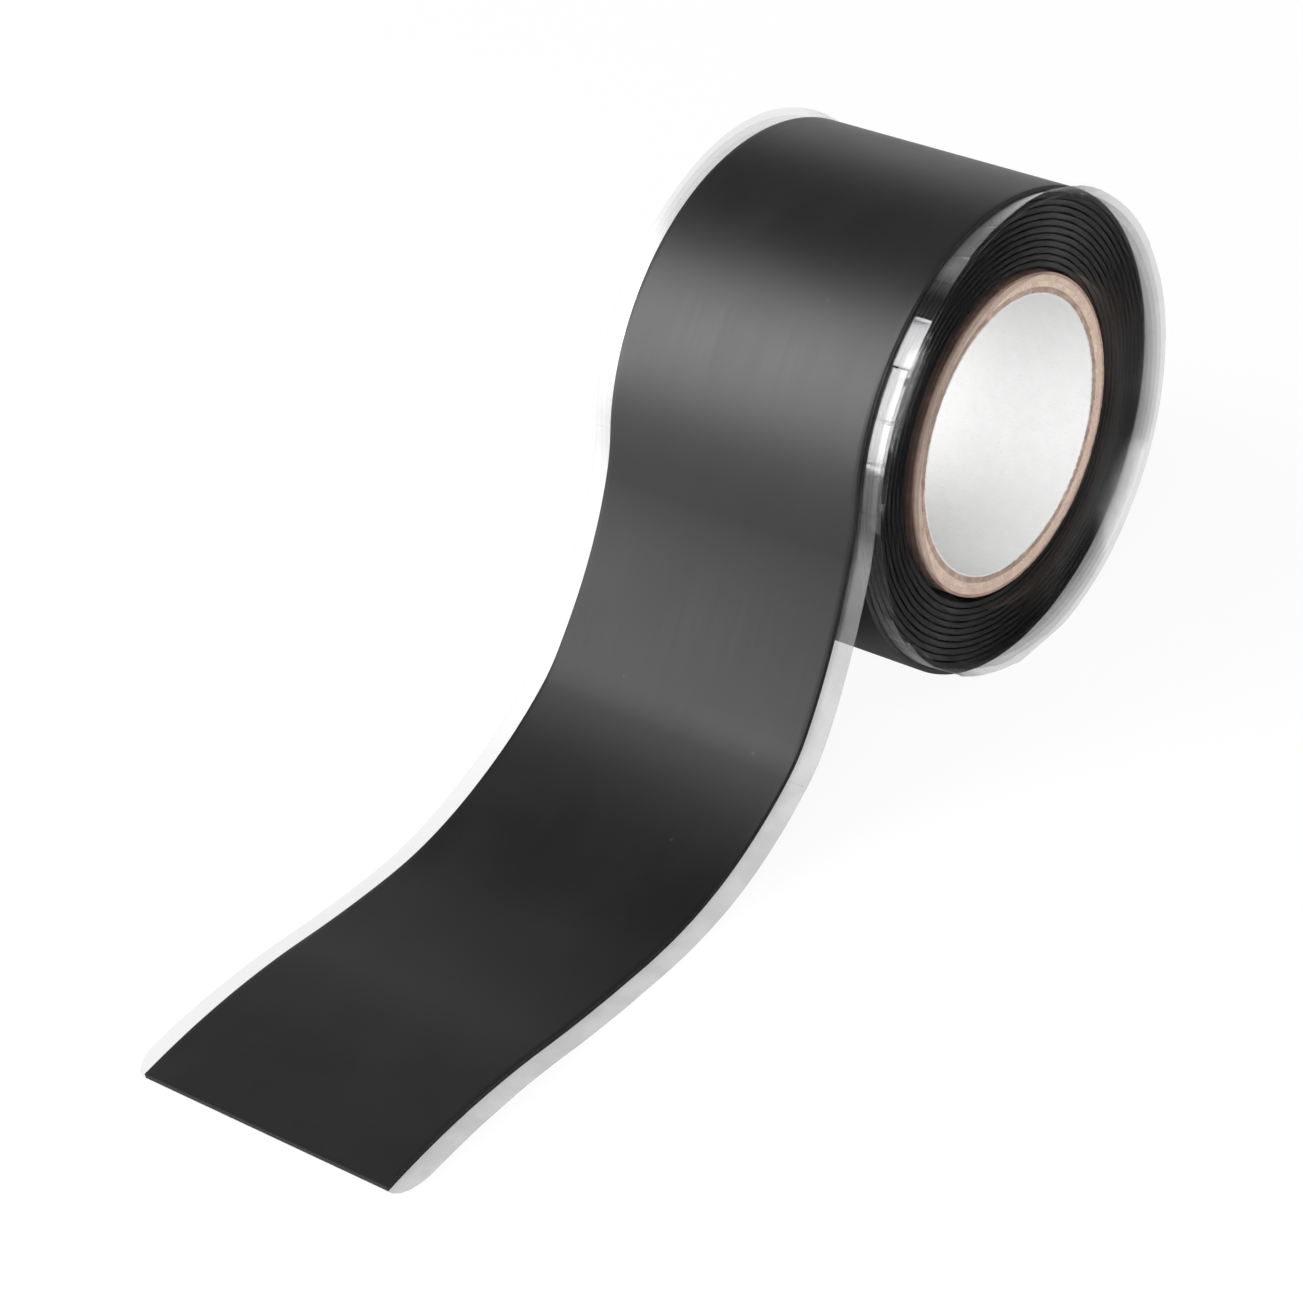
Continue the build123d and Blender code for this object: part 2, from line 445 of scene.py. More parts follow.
def flat_section(name, width, right_side, left_side, corner, stations):
    """A closed section between two offsets to the line's left, with its corners rounded, and
    points at the stations, given as distances in from each side of the strip."""
    half = width / 2
    turns = (0, 30, 60, 90) if corner else (90,)
    bevel = [(corner * (1 - cosine(a)), corner * (1 - sine(a))) for a in turns]
    ends = [(half - along, right_side + across) for along, across in bevel]
    ends += [(half - station, right_side) for station in stations]
    bottom = ends + [(-y, offset) for y, offset in reversed(ends)]
    middle = (right_side + left_side) / 2
    top = [(y, 2 * middle - offset) for y, offset in reversed(bottom)]
    return poly_curve(name, [(y * MM, offset * MM, 0) for y, offset in bottom + top], True)


# %% [markdown]
# One tree makes every strip. It could be three, for tape, film and paper, but they share
# the sweep, the smooth shading and the stored place, and an input that a piece doesn't need
# stays at zero. This cell names the inputs; the next ones build the tree step by step. The
# wave and fold spacings are kept as values, because the film's finish uses them too.

# %% Strip tree: inputs
CREASE_SPACING, FOLDS_PER_SPACING, FOLD_SHIFT = 0.003, 0.8, 40.5
NEVER_CUT = 10.0

strip_tree, given, result = new_group(
    "strip_along_a_line",
    "GeometryNodeTree",
    [
        ("Line", "Geometry", None),
        ("Section", "Object", None),
        ("Held Half Width", "Float", 1.0),
        ("Free Edge", "Float", 0.001),
        ("Flare At Start", "Float", 0.0),
        ("Flare At End", "Float", 0.0),
        ("Flat In Front Of", "Float", -0.014),
        ("Flared Behind", "Float", 0.006),
        ("Twist", "Float", 0.0),
        ("Twist Half Width", "Float", 0.0127),
        ("Begins At", "Float", 0.0),
        ("Ends At", "Float", NEVER_CUT),
        ("Rounded End", "Float", 0.0035),
        ("Ground", "Float", floor_z + FLOOR_GAP),
        ("Crinkle", "Float", 0.0),
        ("Folds", "Float", 0.0),
        ("Crinkle Spacing", "Float", CREASE_SPACING),
        ("Ragged", "Float", 0.0),
        ("Ragged Spacing", "Float", 0.0003),
        ("Seed", "Float", 0.0),
        ("Sharp Angle", "Float", 0.7),
        ("Finish", "Material", None),
    ],
    [("Strip", "Geometry")],
)
print("strip tree has", len(given) - 1, "inputs")

# %% [markdown]
# The sweep itself is Curve to Mesh. The roll's axis is the curve's normal, so that the
# section never twists. The way out from the line, the share of the line and the distance
# along it are captured before the sweep, because the mesh no longer knows them.

# %% Strip tree: sweep
def field(tree, kind, sockets=None, **settings):
    """The first output of one node."""
    return add_node(tree, kind, sockets, **settings).outputs[0]


t = strip_tree
AXIS = (0, 1, 0)
section = add_node(
    t, "GeometryNodeObjectInfo", {"Object": given["Section"]}, transform_space="ORIGINAL"
)
turned = add_node(
    t, "GeometryNodeSetCurveNormal", {"Curve": given["Line"], "Normal": AXIS}, mode="FREE"
)
outward = vector_math(t, "CROSS_PRODUCT", AXIS, field(t, "GeometryNodeInputTangent"))
along = add_node(t, "GeometryNodeSplineParameter")
kept = add_node(t, "GeometryNodeCaptureAttribute", {"Geometry": turned.outputs[0]})
kept.capture_items.new("VECTOR", "Outward")
kept.capture_items.new("FLOAT", "Share")
kept.capture_items.new("FLOAT", "Distance")
t.links.new(outward, kept.inputs["Outward"])
t.links.new(along.outputs["Factor"], kept.inputs["Share"])
t.links.new(along.outputs["Length"], kept.inputs["Distance"])
swept = add_node(
    t,
    "GeometryNodeCurveToMesh",
    {
        "Curve": kept.outputs["Geometry"],
        "Profile Curve": section.outputs["Geometry"],
        "Fill Caps": True,
    },
)
distance = math_node(t, "ADD", kept.outputs["Distance"], given["Begins At"])
print("sweep", len(t.nodes), "nodes")

# %% [markdown]
# Beyond the tape's edge the film is free. It flares away from the roll, most at the back,
# where nothing holds it, and hardly in front, where it was pulled straight. So the lift
# grows with the distance past the held width, and with the place along X. The drop also
# twists a little between the roll and the ground, its far side out and its near side in.

# %% Strip tree: flare and twist
FLARE_CURVE = 1.15
PULLED_FLARE = 0.04
TWIST_BEGINS = (-0.023, -0.032)
TWIST_ENDS = (-0.040, -0.056)

place = axes_of(t, field(t, "GeometryNodeInputPosition"))
off_axis = math_node(t, "ABSOLUTE", place["Y"])
side = math_node(t, "SIGN", place["Y"])
margin = math_node(t, "SUBTRACT", off_axis, given["Held Half Width"])
margin = math_node(t, "MAXIMUM", margin, 0.0)
free_share = math_node(t, "DIVIDE", margin, given["Free Edge"])
flare_ends = (given["Flare At Start"], given["Flare At End"])
flare = spread(t, kept.outputs["Share"], 0.0, 1.0, *flare_ends)
flare_from, flare_to = given["Flat In Front Of"], given["Flared Behind"]
flared = spread(t, place["X"], flare_from, flare_to, PULLED_FLARE, 1.0, smooth=True)
rise = math_node(t, "POWER", free_share, FLARE_CURVE)
lift = product(t, flare, flared, rise)

begins = spread(t, place["X"], *TWIST_BEGINS, smooth=True)
ends = spread(t, place["X"], *TWIST_ENDS, 1.0, 0.0, smooth=True)
across = math_node(t, "DIVIDE", place["Y"], given["Twist Half Width"])
twist = product(t, begins, ends, given["Twist"], across)
lift = math_node(t, "ADD", lift, twist)
print("flare and twist", len(t.nodes), "nodes")

# %% [markdown]
# Handled film has soft waves along its free edge, from noise, and folds across it. Between
# two folds the edge stands out by a different amount, so each cell of a one-dimensional
# Voronoi draws its own. The distance counts from the start of the roll, so both run on from
# piece to piece. Where the film flares it is taut, so it is calmer there. Last, nothing may
# go below the ground: where a flared edge meets it, the edge lies flat.

# %% Strip tree: waves and folds
SIDES_APART = 7.3
CALMED_BY_FLARE = 0.8

wave_at = math_node(t, "DIVIDE", distance, given["Crinkle Spacing"])
own_side = math_node(t, "MULTIPLY", side, SIDES_APART)
wave_place = add_node(t, "ShaderNodeCombineXYZ", {0: wave_at, 1: own_side, 2: given["Seed"]})
wave_noise = {"Vector": wave_place.outputs[0], "Scale": 1.0, "Detail": 2.0}
waves = math_node(t, "MULTIPLY_ADD", field(t, "ShaderNodeTexNoise", wave_noise), 2.0, -1.0)
fold_at = math_node(t, "ADD", wave_at, math_node(t, "MULTIPLY", side, FOLD_SHIFT))
fold_cells = add_node(
    t, "ShaderNodeTexVoronoi", {"W": fold_at, "Scale": FOLDS_PER_SPACING}, voronoi_dimensions="1D"
)
fold_lot = axes_of(t, fold_cells.outputs["Color"])[0]
near_side = math_node(t, "LESS_THAN", place["Y"], 0.0)
folds = product(t, math_node(t, "MULTIPLY_ADD", fold_lot, 2.0, -1.0), near_side)
crumple = math_node(t, "MULTIPLY", given["Crinkle"], waves)
crumple = math_node(t, "MULTIPLY_ADD", given["Folds"], folds, crumple)
calm = math_node(t, "MULTIPLY_ADD", flared, -CALMED_BY_FLARE, 1.0)
crumple = product(t, crumple, math_node(t, "MINIMUM", free_share, 1.0), calm)
raise_by = add_node(
    t,
    "ShaderNodeVectorMath",
    {0: kept.outputs["Outward"], "Scale": math_node(t, "ADD", lift, crumple)},
    operation="SCALE",
)
raised = add_node(
    t,
    "GeometryNodeSetPosition",
    {"Geometry": swept.outputs[0], "Offset": raise_by.outputs[0]},
)

reached = axes_of(t, field(t, "GeometryNodeInputPosition"))
above_ground = math_node(t, "MAXIMUM", reached[2], given["Ground"])
standing = add_node(t, "ShaderNodeCombineXYZ", {0: reached[0], 1: reached[1], 2: above_ground})
grounded = add_node(
    t,
    "GeometryNodeSetPosition",
    {"Geometry": raised.outputs[0], "Position": standing.outputs[0]},
)
print("waves and folds", len(t.nodes), "nodes")

# %% [markdown]
# A cut shows in two ways. Where the strip is cut off, the film's corners are rounded: its
# margins draw in, on a quarter ellipse, to a narrow rest. And the cut rims of paper are
# ragged, so fine noise pushes their points in and out along the axis.

# %% Strip tree: cuts
NARROW_REST = 0.12
RIM_DEPTH = 0.00002
MOSTLY_IN = -1.25

to_end = math_node(t, "SUBTRACT", given["Ends At"], distance)
into_round = math_node(t, "DIVIDE", to_end, given["Rounded End"])
into_round = math_node(t, "SUBTRACT", 1.0, into_round)
into_round = math_node(t, "MINIMUM", math_node(t, "MAXIMUM", into_round, 0.0), 1.0)
rounded = math_node(t, "SUBTRACT", 1.0, product(t, into_round, into_round))
rounded = math_node(t, "SQRT", rounded)
drawn_in = product(t, math_node(t, "SUBTRACT", rounded, 1.0), 1 - NARROW_REST)
drawn_in = product(t, margin, side, drawn_in)

spacing = add_node(t, "ShaderNodeCombineXYZ", {n: given["Ragged Spacing"] for n in range(3)})
seeded = add_node(t, "ShaderNodeCombineXYZ", {0: given["Seed"], 1: given["Seed"]})
cells = vector_math(t, "DIVIDE", field(t, "GeometryNodeInputPosition"), spacing.outputs[0])
fibre_place = vector_math(t, "ADD", cells, seeded.outputs[0])
fibre_noise = {"Vector": fibre_place, "Scale": 1.0, "Detail": 3.0}
fibre = field(t, "ShaderNodeTexNoise", fibre_noise)
at_rim = math_node(
    t, "GREATER_THAN", off_axis, math_node(t, "SUBTRACT", given["Held Half Width"], RIM_DEPTH)
)
push = math_node(t, "MULTIPLY_ADD", fibre, 2.0, MOSTLY_IN)
push = product(t, push, given["Ragged"], side, at_rim)
slid = add_node(t, "ShaderNodeCombineXYZ", {1: math_node(t, "ADD", push, drawn_in)})
cut = add_node(
    t,
    "GeometryNodeSetPosition",
    {"Geometry": grounded.outputs[0], "Offset": slid.outputs[0]},
)
print("cuts", len(t.nodes), "nodes")

# %% [markdown]
# What the finishes need is stored on the points: how far along and across the strip they
# are, and how far out on its free margin. Then the strip is shaded smooth but for its steep
# edges, and it ends in Realize Instances and Set Material, so that plain mesh comes out.

# %% Strip tree: stored place and output
strip_place = add_node(t, "ShaderNodeCombineXYZ", {0: distance, 1: place["Y"], 2: free_share})
placed = add_node(
    t,
    "GeometryNodeStoreNamedAttribute",
    {
        "Geometry": cut.outputs[0],
        "Name": "along_strip",
        "Value": strip_place.outputs[0],
    },
    data_type="FLOAT_VECTOR",
    domain="POINT",
)
smooth = add_node(
    t, "GeometryNodeSetShadeSmooth", {"Geometry": placed.outputs[0], "Shade Smooth": True}
)
edge_angle = field(t, "GeometryNodeInputMeshEdgeAngle")
steep_edges = math_node(t, "GREATER_THAN", edge_angle, given["Sharp Angle"])
creased = add_node(
    t,
    "GeometryNodeSetShadeSmooth",
    {"Geometry": smooth.outputs[0], "Selection": steep_edges, "Shade Smooth": False},
    domain="EDGE",
)
real = add_node(t, "GeometryNodeRealizeInstances", {0: creased.outputs[0]})
painted = add_node(
    t, "GeometryNodeSetMaterial", {"Geometry": real.outputs[0], "Material": given["Finish"]}
)
t.links.new(painted.outputs[0], result["Strip"])
print("strip tree", len(t.nodes), "nodes")

# %% [markdown]
# A piece is made in four steps: the tree goes onto the line as a modifier, its inputs are
# set, the outcome is read as a plain mesh, and the line is thrown away. Signed volume says
# whether the faces look outwards.

# %% Making a piece from a line
def signed_volume(mesh):
    """The volume inside a closed mesh, below zero if its faces look inwards."""
    mesh.calc_loop_triangles()
    total = 0.0
    for triangle in mesh.loop_triangles:
        a, b, c = (mesh.vertices[index].co for index in triangle.vertices)
        total += a.dot(b.cross(c)) / 6
    return total


def strip_piece(name, line, section, finish, **sizes):
    """A mesh object: the section swept along the line. Each size is an input of the tree, with
    an underscore for each space of its name."""
    modifier = line.modifiers.new("strip", "NODES")
    modifier.node_group = strip_tree
    values = {"Section": section, "Finish": finish}
    values |= {key.replace("_", " "): size for key, size in sizes.items()}
    for item in strip_tree.interface.items_tree:
        if item.in_out == "INPUT" and item.name in values:
            modifier[item.identifier] = values[item.name]
    shown = line.evaluated_get(bpy.context.evaluated_depsgraph_get())
    mesh = bpy.data.meshes.new_from_object(shown)
    bpy.data.objects.remove(line)
    if signed_volume(mesh) < 0:
        mesh.flip_normals()
    mesh.name = name
    if not mesh.materials:
        mesh.materials.append(finish)
    made = bpy.data.objects.new(name, mesh)
    bpy.context.scene.collection.objects.link(made)
    volume = signed_volume(mesh) / MM**3
    print(name, len(mesh.polygons), "faces, volume", round(volume, 1), "mm3")
    return made


# %% [markdown]
# Two effects are shared by several finishes, so each is a shader group. Handling leaves
# lengthwise streaks, soft smudges and a few specks of dust on tape and film alike. Their
# pattern follows the strip, so it reads the place that the tree stored on every point: the
# distance along the strip and the distance across it. Streaks are noise that is drawn out
# along the strip, and a speck is the middle of a few chosen Voronoi cells.

# %% Handling marks
def plain_material(name):
    made = bpy.data.materials.new(name)
    made.use_nodes = True
    made.node_tree.nodes.clear()
    return made, made.node_tree


def noise(tree, place, scale, detail=2.0):
    sockets = {"Vector": place, "Scale": scale, "Detail": detail}
    return add_node(tree, "ShaderNodeTexNoise", sockets).outputs[0]


STREAK_SCALE, GRAIN_SCALE, DUST_SCALE = 2600.0, 5200.0, 420.0
SPECK_RIM, SPECK_SHARE = (0.05, 0.09), 0.07

handling, given, result = new_group(
    "handling_marks",
    "ShaderNodeTree",
    [("Place", "Vector", None), ("Streak Stretch", "Float", 30.0), ("Smudge Size", "Float", 0.006)],
    [("Streaks", "Float"), ("Smudges", "Float"), ("Specks", "Float"), ("Grain", "Float")],
)
tree = handling
parts_of = axes_of(tree, given["Place"])
drawn_out = math_node(tree, "DIVIDE", parts_of[0], given["Streak Stretch"])
stretched = add_node(tree, "ShaderNodeCombineXYZ", {0: drawn_out, 1: parts_of[1]}).outputs[0]
flat_place = add_node(tree, "ShaderNodeCombineXYZ", {0: parts_of[0], 1: parts_of[1]}).outputs[0]
smudge_scale = math_node(tree, "DIVIDE", 1.0, given["Smudge Size"])
soft_spots = noise(tree, flat_place, smudge_scale, 4.0)
dust = add_node(tree, "ShaderNodeTexVoronoi", {"Vector": flat_place, "Scale": DUST_SCALE})
near_speck = spread(tree, dust.outputs["Distance"], *SPECK_RIM, 1.0, 0.0)
drawn_lot = add_node(tree, "ShaderNodeSeparateColor", {0: dust.outputs["Color"]}).outputs[0]
chosen = math_node(tree, "GREATER_THAN", drawn_lot, 1 - SPECK_SHARE)
tree.links.new(noise(tree, stretched, STREAK_SCALE, 3.0), result["Streaks"])
tree.links.new(spread(tree, soft_spots, 0.42, 0.68), result["Smudges"])
tree.links.new(product(tree, near_speck, chosen), result["Specks"])
tree.links.new(noise(tree, flat_place, GRAIN_SCALE, 2.0), result["Grain"])
print("handling marks", len(tree.nodes), "nodes")


def handled(tree, stretch, smudge_size):
    """The group placed in a material, and the strip's own place that it reads."""
    stored = {"attribute_name": "along_strip", "attribute_type": "GEOMETRY"}
    where = add_node(tree, "ShaderNodeAttribute", **stored).outputs["Vector"]
    sockets = {"Place": where, "Streak Stretch": stretch, "Smudge Size": smudge_size}
    return add_node(tree, "ShaderNodeGroup", sockets, node_tree=handling).outputs, where


# %% [markdown]
# The tape is calendered silicone rubber: black all through, satin, and a little uneven in
# its sheen where the release film has lain on it. Most of the finish is in the roughness,
# which the streaks and smudges move by a few hundredths. Dust shows on black, so a few
# specks lighten the colour, and a very low bump gives the surface its dry grain. The cut end
# is matt. On the drop the sheen is turned down, a painted shade that darkens the drop. Its
# colour can't turn down a plastic's sheen, but a black metal mirrors almost nothing, so a
# share of Metallic takes it away there.

# %% Tape finish
def mixed_colour(tree, share, first, second):
    made = add_node(tree, "ShaderNodeMix", {0: share, 6: first, 7: second}, data_type="RGBA")
    return made.outputs[2]


def from_release(tree, along, start, end):
    """A mask that goes from 0 to 1 between two distances along the strip, in millimetres
    past the line where it leaves the roll. A start beyond the end makes it fall instead."""
    return spread(tree, along, (wound_length + start) * MM, (wound_length + end) * MM)


BLACK = (0.0070, 0.0070, 0.0075, 1)
GREYER_BLACK = (0.0084, 0.0084, 0.0086, 1)
DUST, DUST_COVER = (0.10, 0.10, 0.095, 1), 0.2
SATIN, STREAKED, SMUDGED, MATT_CUT = 0.37, 0.07, 0.03, 0.5
DROP_PAINTED_SHADE = 0.5

silicone, tree = plain_material("black_silicone")
marks, where = handled(tree, 30.0, 0.007)
along = axes_of(tree, where)[0]
past_release = from_release(tree, along, 0, 4)
still_dropping = from_release(tree, along, 44, 28)
on_the_cut = from_release(tree, along, free_length - END_ROW / 2, free_length)
sheen = math_node(tree, "MULTIPLY_ADD", marks["Streaks"], STREAKED, SATIN)
sheen = math_node(tree, "MULTIPLY_ADD", marks["Smudges"], SMUDGED, sheen)
sheen = math_node(tree, "MULTIPLY_ADD", on_the_cut, MATT_CUT, sheen)
smudged = mixed_colour(tree, marks["Smudges"], BLACK, GREYER_BLACK)
dusty = mixed_colour(tree, product(tree, marks["Specks"], DUST_COVER), smudged, DUST)
grain = add_node(
    tree, "ShaderNodeBump", {"Height": marks["Grain"], "Strength": 0.10, "Distance": 0.01 * MM}
)
skin = add_node(
    tree,
    "ShaderNodeBsdfPrincipled",
    {
        "Base Color": dusty,
        # Metallic on the drop is painted shade: it dims the sheen from the release line to about 44
        # mm past it.
        "Metallic": product(tree, past_release, still_dropping, DROP_PAINTED_SHADE),
        "Roughness": sheen,
        "IOR": 1.5,
        "Normal": grain.outputs[0],
    },
)
add_node(tree, "ShaderNodeOutputMaterial", {"Surface": skin.outputs[0]})
print(silicone.name, len(tree.nodes), "nodes")

# %% [markdown]
# The release film is clear and glossy. A clear sheet could be glass with refraction, but
# light through a dozen thin closed sheets is slow and noisy that way. So the film is a
# mix: a mirror-like skin whose share grows towards glancing angles, by Layer Weight's
# Facing to the fifth power, and for the rest a transparent shader that tints a little what
# lies behind.
#
# How it was handled shows most at its margins, and the stored place says where. The near
# margin tints more than the rest of the film. The last turn is rubbed: it is duller,
# and its near margin is a little hazy. Once off the roll, that margin is quite hazy, with a
# larger skin of a greyer colour. Just before the release line its folds get thin lines of
# painted shade, darker film from the same cells that folded it. The far margin is only
# duller. Deep between the inner turns the margins are pressed together and mirror less.

# %% Film finish: where it is worn, and where fold shade is painted
DRAWN_OFF = (-1, 9)
RUBBED_FROM, RUBBED_TO = (-130, -110), (-19, -22)
FOLDED_FROM = (-34, -26)
PRESSED_TO, PRESSED_SKIN = (-300, -140), 0.3
MARGIN_BEGINS, MARGIN_FULL = 12.1 * MM, 12.7 * MM
RUBBED_HAZE, FAR_WEAR = 0.5, 0.9
FOLD_SHADE_WIDTH, FOLD_WOBBLE = (0.015, 0.04), 0.12

film_finish, tree = plain_material("clear_release_film")
marks, where = handled(tree, 18.0, 0.003)
where = axes_of(tree, where)
near_margin = spread(tree, where[1], -MARGIN_BEGINS, -MARGIN_FULL)
far_margin = spread(tree, where[1], MARGIN_BEGINS, MARGIN_FULL)
drawn_off = from_release(tree, where[0], *DRAWN_OFF)
rubbed = product(
    tree, from_release(tree, where[0], *RUBBED_FROM), from_release(tree, where[0], *RUBBED_TO)
)
hazy = math_node(tree, "MAXIMUM", drawn_off, product(tree, rubbed, RUBBED_HAZE))
cloudy = spread(tree, marks["Smudges"], 0.0, 1.0, 0.9, 1.08)
haze = product(tree, near_margin, hazy, cloudy)
worn = math_node(tree, "MAXIMUM", rubbed, product(tree, far_margin, FAR_WEAR))
outside = spread(tree, from_release(tree, where[0], *PRESSED_TO), 0.0, 1.0, PRESSED_SKIN, 1.0)

# Thin lines of painted shade on the near margin, at the edges of the fold cells, just before the
# release line.
fold_place = math_node(tree, "MULTIPLY_ADD", where[0], 1 / CREASE_SPACING, -FOLD_SHIFT)
fold_place = math_node(tree, "MULTIPLY_ADD", marks["Grain"], FOLD_WOBBLE, fold_place)
fold_edges = add_node(
    tree,
    "ShaderNodeTexVoronoi",
    {"W": fold_place, "Scale": FOLDS_PER_SPACING},
    voronoi_dimensions="1D",
    feature="DISTANCE_TO_EDGE",
)
fold_shade_lines = spread(tree, fold_edges.outputs["Distance"], *FOLD_SHADE_WIDTH, 1.0, 0.0)
folding = from_release(tree, where[0], *FOLDED_FROM)
still_wound = math_node(tree, "SUBTRACT", 1.0, drawn_off)
painted_fold_shade = product(tree, folding, near_margin, still_wound, fold_shade_lines)
print(film_finish.name, len(tree.nodes), "nodes for its wear")

# %% Film finish: skin and tint
SKIN_SHARE, HAZE_SHARE = 0.055, 0.25
GLOSSY, HANDLED_GLOSS, WORN_GLOSS, STREAKY = 0.10, 0.31, 0.22, 0.10
SKIN, HAZE = (0.90, 0.90, 0.91, 1), (0.22, 0.22, 0.222, 1)
CLEAR, NEAR_MARGIN_TINT, FOLD_SHADE = (0.965, 0.965, 0.965, 1), (0.905, 0.905, 0.905, 1), (0.74, 0.74, 0.75, 1)

tilt = add_node(tree, "ShaderNodeLayerWeight", {"Blend": 0.5}).outputs["Facing"]
glancing = math_node(tree, "POWER", tilt, 5.0)
skin_share = math_node(tree, "MULTIPLY_ADD", glancing, 1 - SKIN_SHARE, SKIN_SHARE)
skin_share = product(tree, skin_share, outside)
skin_share = math_node(tree, "MAXIMUM", skin_share, product(tree, haze, HAZE_SHARE))
gloss = math_node(tree, "MULTIPLY_ADD", drawn_off, HANDLED_GLOSS - GLOSSY, GLOSSY)
gloss = math_node(tree, "MULTIPLY_ADD", worn, WORN_GLOSS, gloss)
gloss = math_node(tree, "MULTIPLY_ADD", marks["Streaks"], STREAKY, gloss)
skin = add_node(
    tree,
    "ShaderNodeBsdfPrincipled",
    {
        "Base Color": mixed_colour(tree, haze, SKIN, HAZE),
        "Metallic": spread(tree, haze, 0.0, 0.6, 1.0, 0.0),
        "Roughness": gloss,
    },
)
# The near margin is tinted darker than the rest of the film.
tint = mixed_colour(tree, near_margin, CLEAR, NEAR_MARGIN_TINT)
# The fold lines darken the tint here: painted shade.
tint = mixed_colour(tree, painted_fold_shade, tint, FOLD_SHADE)
behind = add_node(tree, "ShaderNodeBsdfTransparent", {"Color": tint})
film_look = {0: skin_share, 1: behind.outputs[0], 2: skin.outputs[0]}
mixed = add_node(tree, "ShaderNodeMixShader", film_look)
add_node(tree, "ShaderNodeOutputMaterial", {"Surface": mixed.outputs[0]})
print(film_finish.name, len(tree.nodes), "nodes")

# %% [markdown]
# The core is five plies of paper glued one on another and cut to length. Board made from
# waste paper is mottled, with longer dark and pale fibres in it, and the knife leaves its
# cut end rough. One group makes that for every ply, from noise that is stretched along the
# roll's axis, so that it shows as fibres on the wall and as specks on the cut end.

# %% Paper finish
DRAWN_ALONG_AXIS = (1.0, 0.22, 1.0)

paper_fibres, given, result = new_group(
    "paper_fibres",
    "ShaderNodeTree",
    [("Fibre Width", "Float", 0.00012), ("Mottle Size", "Float", 0.0012), ("Seed", "Float", 0.0)],
    [("Mottle", "Float"), ("Pale Fibres", "Float"), ("Dark Fibres", "Float"), ("Height", "Float")],
)
tree = paper_fibres
inside = add_node(tree, "ShaderNodeTexCoord").outputs["Object"]
shift = add_node(tree, "ShaderNodeCombineXYZ", {0: given["Seed"], 1: given["Seed"]}).outputs[0]
here = vector_math(tree, "ADD", inside, shift)
fine_scale = math_node(tree, "DIVIDE", 1.0, given["Fibre Width"])
drawn_out = vector_math(tree, "MULTIPLY", here, DRAWN_ALONG_AXIS)
fibres = noise(tree, drawn_out, fine_scale, 2.0)
mottle = noise(tree, here, math_node(tree, "DIVIDE", 1.0, given["Mottle Size"]), 3.0)
tree.links.new(spread(tree, mottle, 0.3, 0.7), result["Mottle"])
tree.links.new(spread(tree, fibres, 0.60, 0.70), result["Pale Fibres"])
tree.links.new(spread(tree, fibres, 0.40, 0.32), result["Dark Fibres"])
tree.links.new(fibres, result["Height"])


PALE_FIBRE = (0.84, 0.76, 0.69, 1)


def paper(name, pale, dark, fleck, seed):
    """A paper between two colours, with dark fibres of a third."""
    made, tree = plain_material(name)
    look = add_node(tree, "ShaderNodeGroup", {"Seed": seed}, node_tree=paper_fibres).outputs
    tone = mixed_colour(tree, look["Mottle"], (*dark, 1), (*pale, 1))
    tone = mixed_colour(tree, product(tree, look["Dark Fibres"], 0.6), tone, (*fleck, 1))
    tone = mixed_colour(tree, product(tree, look["Pale Fibres"], 0.5), tone, PALE_FIBRE)
    height = {"Height": look["Height"], "Strength": 0.5, "Distance": 0.04 * MM}
    relief = add_node(tree, "ShaderNodeBump", height)
    skin = add_node(
        tree,
        "ShaderNodeBsdfPrincipled",
        {
            "Base Color": tone,
            "Roughness": math_node(tree, "MULTIPLY_ADD", look["Mottle"], 0.1, 0.8),
            "Normal": relief.outputs[0],
        },
    )
    add_node(tree, "ShaderNodeOutputMaterial", {"Surface": skin.outputs[0]})
    return made


PAPER_TONES = {
    "core_lining": ((0.83, 0.83, 0.83), (0.80, 0.80, 0.80), (0.74, 0.73, 0.72)),
    "core_body_ply_1": ((0.62, 0.45, 0.37), (0.34, 0.23, 0.18), (0.16, 0.10, 0.08)),
    "core_body_ply_2": ((0.84, 0.68, 0.56), (0.68, 0.50, 0.40), (0.30, 0.19, 0.14)),
    "core_body_ply_3": ((0.80, 0.62, 0.52), (0.66, 0.49, 0.40), (0.32, 0.22, 0.17)),
    "core_kraft_ply": ((0.55, 0.36, 0.29), (0.40, 0.25, 0.20), (0.24, 0.14, 0.11)),
    "start_strip": ((0.77, 0.74, 0.65), (0.72, 0.69, 0.60), (0.62, 0.58, 0.48)),
}
papers = {}
for seed, (name, tones) in enumerate(PAPER_TONES.items()):
    papers[name] = paper(name + "_paper", *tones, float(seed))
print(len(papers), "papers")

# %% [markdown]
# Each ply is a plain tube, so its section is a small rectangle and its line a circle. The
# tree leaves the tube smooth and makes its two cut rims ragged, as a blade leaves paper.
# The section has two more points on each short side, so that a rim is ragged across its
# thickness too, and one more in the middle of each long side.

# %% Core plies
PLY_STEPS = 540
PLY_OUTLINE = [
    (1, -1), (0, -1), (-1, -1), (-1, -0.4), (-1, 0.4),
    (-1, 1), (0, 1), (1, 1), (1, 0.4), (1, -0.4),
]
RAGGED = {"core_lining": 0.20, "core_body_ply_1": 0.18}


def circle_points(radius, steps):
    angles = [360 * n / steps for n in range(steps)]
    return [(radius * cosine(angle), 0, radius * sine(angle)) for angle in angles]


